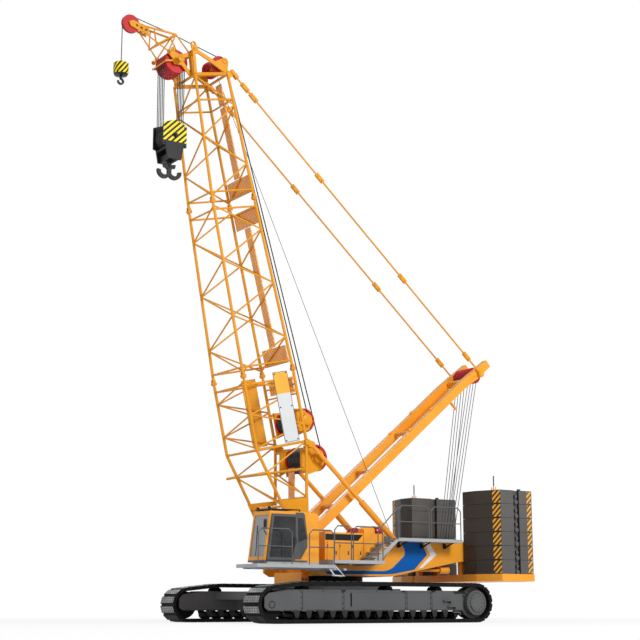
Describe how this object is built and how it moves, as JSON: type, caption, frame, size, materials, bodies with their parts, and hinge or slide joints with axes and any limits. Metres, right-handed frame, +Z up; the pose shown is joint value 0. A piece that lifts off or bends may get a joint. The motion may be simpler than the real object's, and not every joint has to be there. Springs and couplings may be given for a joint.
{
  "type": "crawler crane",
  "caption": "Crawler crane with a lattice boom, tip jib, live mast with pendants, stacked rear counterweights, side cab with sliding door, and hook blocks.",
  "frame": {"origin": "on the slewing axis at ground level, midway between the tracks", "axes": "+X forward along the tracks towards the boom side, +Y to the operator's left, +Z up"},
  "size_m": [15.4855, 6.48, 20.1255],
  "materials": {
    "crane_yellow": "glossy enamel",
    "dark_grey": "satin enamel",
    "track_steel": "worn black steel",
    "black_paint": "satin black",
    "sheave_red": "glossy red",
    "deck_grey": "galvanised grey",
    "walkway_brown": "primed mesh",
    "weight_grey": "grey paint",
    "glass": "tinted glass",
    "seat_fabric": "dark cloth",
    "sign_white": "blank enamel plate"
  },
  "bodies": {
    "undercarriage": {"carbody": "dark_grey", "crawler_frame_left": "dark_grey", "crawler_frame_right": "dark_grey", "track_left": "track_steel", "track_right": "track_steel", "idlers": "dark_grey", "sprockets": "dark_grey", "rollers": "dark_grey", "crawler_steps": "deck_grey", "slew_ring": "track_steel"},
    "superstructure": {"platform": "crane_yellow", "house_left": "crane_yellow", "house_right": "crane_yellow", "engine_hood": "crane_yellow", "engine_block": "dark_grey", "luff_anchor": "crane_yellow", "cab_floor": "dark_grey", "cab_frame": "crane_yellow", "cab_roof": "crane_yellow", "cab_rear_box": "crane_yellow", "cab_glass": "glass", "roof_guard": "black_paint", "seat": "seat_fabric", "console": "dark_grey", "catwalks": "deck_grey", "guardrails": "deck_grey", "counterweight_tray": "crane_yellow", "counterweight_left": "weight_grey", "counterweight_right": "weight_grey", "tie_rods": "crane_yellow"},
    "door": {"cab_door": "dark_grey", "cab_door_glass": "glass"},
    "luffing_winch": {"luff_drum": "sheave_red"},
    "anchor_pulleys": {"anchor_sheaves": "sheave_red"},
    "boom": {"boom_base": "crane_yellow", "boom_insert": "crane_yellow", "boom_top": "crane_yellow", "boom_walkway": "walkway_brown", "sign_plates": "sign_white", "backstops": "crane_yellow", "tip_jib": "crane_yellow", "pendants": "crane_yellow"},
    "main_winch": {"main_drum": "sheave_red"},
    "aux_winch": {"aux_drum": "sheave_red"},
    "head_pulleys": {"head_sheaves": "sheave_red"},
    "guide_pulleys": {"guide_sheaves": "sheave_red"},
    "tip_pulley": {"tip_sheave": "sheave_red"},
    "live_mast": {"mast": "crane_yellow"},
    "mast_pulleys": {"mast_sheaves": "sheave_red"},
    "hook_block": {"main_block": "black_paint"},
    "block_pulleys": {"block_sheaves": "sheave_red"},
    "ramshorn_hook": {"main_hook": "black_paint"},
    "whip_block": {"aux_block": "black_paint"},
    "whip_hook": {"aux_hook": "black_paint"}
  },
  "joints": [
    {"name": "slew", "type": "hinge", "parent": "undercarriage", "child": "superstructure", "pos_m": [0, 0, 1.52], "axis": [0, 0, 1], "continuous": true},
    {"name": "cab_door_slide", "type": "slide", "parent": "superstructure", "child": "door", "axis": [-1, 0, 0], "range_m": [0, 0.7]},
    {"name": "luffing_winch_spin", "type": "hinge", "parent": "superstructure", "child": "luffing_winch", "pos_m": [-1.6, 0, 2.82], "axis": [0, 1, 0], "continuous": true},
    {"name": "anchor_pulley_spin", "type": "hinge", "parent": "superstructure", "child": "anchor_pulleys", "pos_m": [-5.25, 0, 2.62], "axis": [0, 1, 0], "continuous": true},
    {"name": "boom_luff", "type": "hinge", "parent": "superstructure", "child": "boom", "pos_m": [1.45, 0, 2.3], "axis": [0, 1, 0], "range_deg": [0, 47]},
    {"name": "mast_luff", "type": "hinge", "parent": "superstructure", "child": "live_mast", "pos_m": [1.45, 0, 2.3], "axis": [0, 1, 0], "range_deg": [-1, 48]},
    {"name": "main_winch_spin", "type": "hinge", "parent": "boom", "child": "main_winch", "pos_m": [0.82303, 0, 5.48908], "axis": [0, 1, 0], "continuous": true},
    {"name": "aux_winch_spin", "type": "hinge", "parent": "boom", "child": "aux_winch", "pos_m": [1.30384, 0, 6.7436], "axis": [0, 1, 0], "continuous": true},
    {"name": "head_pulley_spin", "type": "hinge", "parent": "boom", "child": "head_pulleys", "pos_m": [6.35982, 0, 18.6887], "axis": [0, 1, 0], "continuous": true},
    {"name": "guide_pulley_spin", "type": "hinge", "parent": "boom", "child": "guide_pulleys", "pos_m": [4.67523, 0, 18.9701], "axis": [0, 1, 0], "continuous": true},
    {"name": "tip_pulley_spin", "type": "hinge", "parent": "boom", "child": "tip_pulley", "pos_m": [7.93952, 0, 19.80557], "axis": [0, 1, 0], "continuous": true},
    {"name": "mast_pulley_spin", "type": "hinge", "parent": "live_mast", "child": "mast_pulleys", "pos_m": [-6.44301, 0, 9.04127], "axis": [0, 1, 0], "continuous": true},
    {"name": "hook_block_hang", "type": "hinge", "parent": "boom", "child": "hook_block", "pos_m": [6.35982, 0, 18.6887], "axis": [0, 1, 0], "range_deg": [-48, 1]},
    {"name": "block_pulley_spin", "type": "hinge", "parent": "hook_block", "child": "block_pulleys", "pos_m": [6.35982, 0, 16.0487], "axis": [0, 1, 0], "continuous": true},
    {"name": "hook_swivel", "type": "hinge", "parent": "hook_block", "child": "ramshorn_hook", "pos_m": [6.35982, 0, 15.2187], "axis": [0, 0, 1], "continuous": true},
    {"name": "whip_block_hang", "type": "hinge", "parent": "boom", "child": "whip_block", "pos_m": [7.93952, 0, 19.80557], "axis": [0, 1, 0], "range_deg": [-48, 1]},
    {"name": "whip_hook_swivel", "type": "hinge", "parent": "whip_block", "child": "whip_hook", "pos_m": [8.24052, 0, 17.87557], "axis": [0, 0, 1], "continuous": true}
  ],
  "couplings": [
    {"joint": "mast_luff", "follows": "boom_luff", "ratio": 1},
    {"joint": "hook_block_hang", "follows": "boom_luff", "ratio": -1},
    {"joint": "whip_block_hang", "follows": "boom_luff", "ratio": -1}
  ]
}
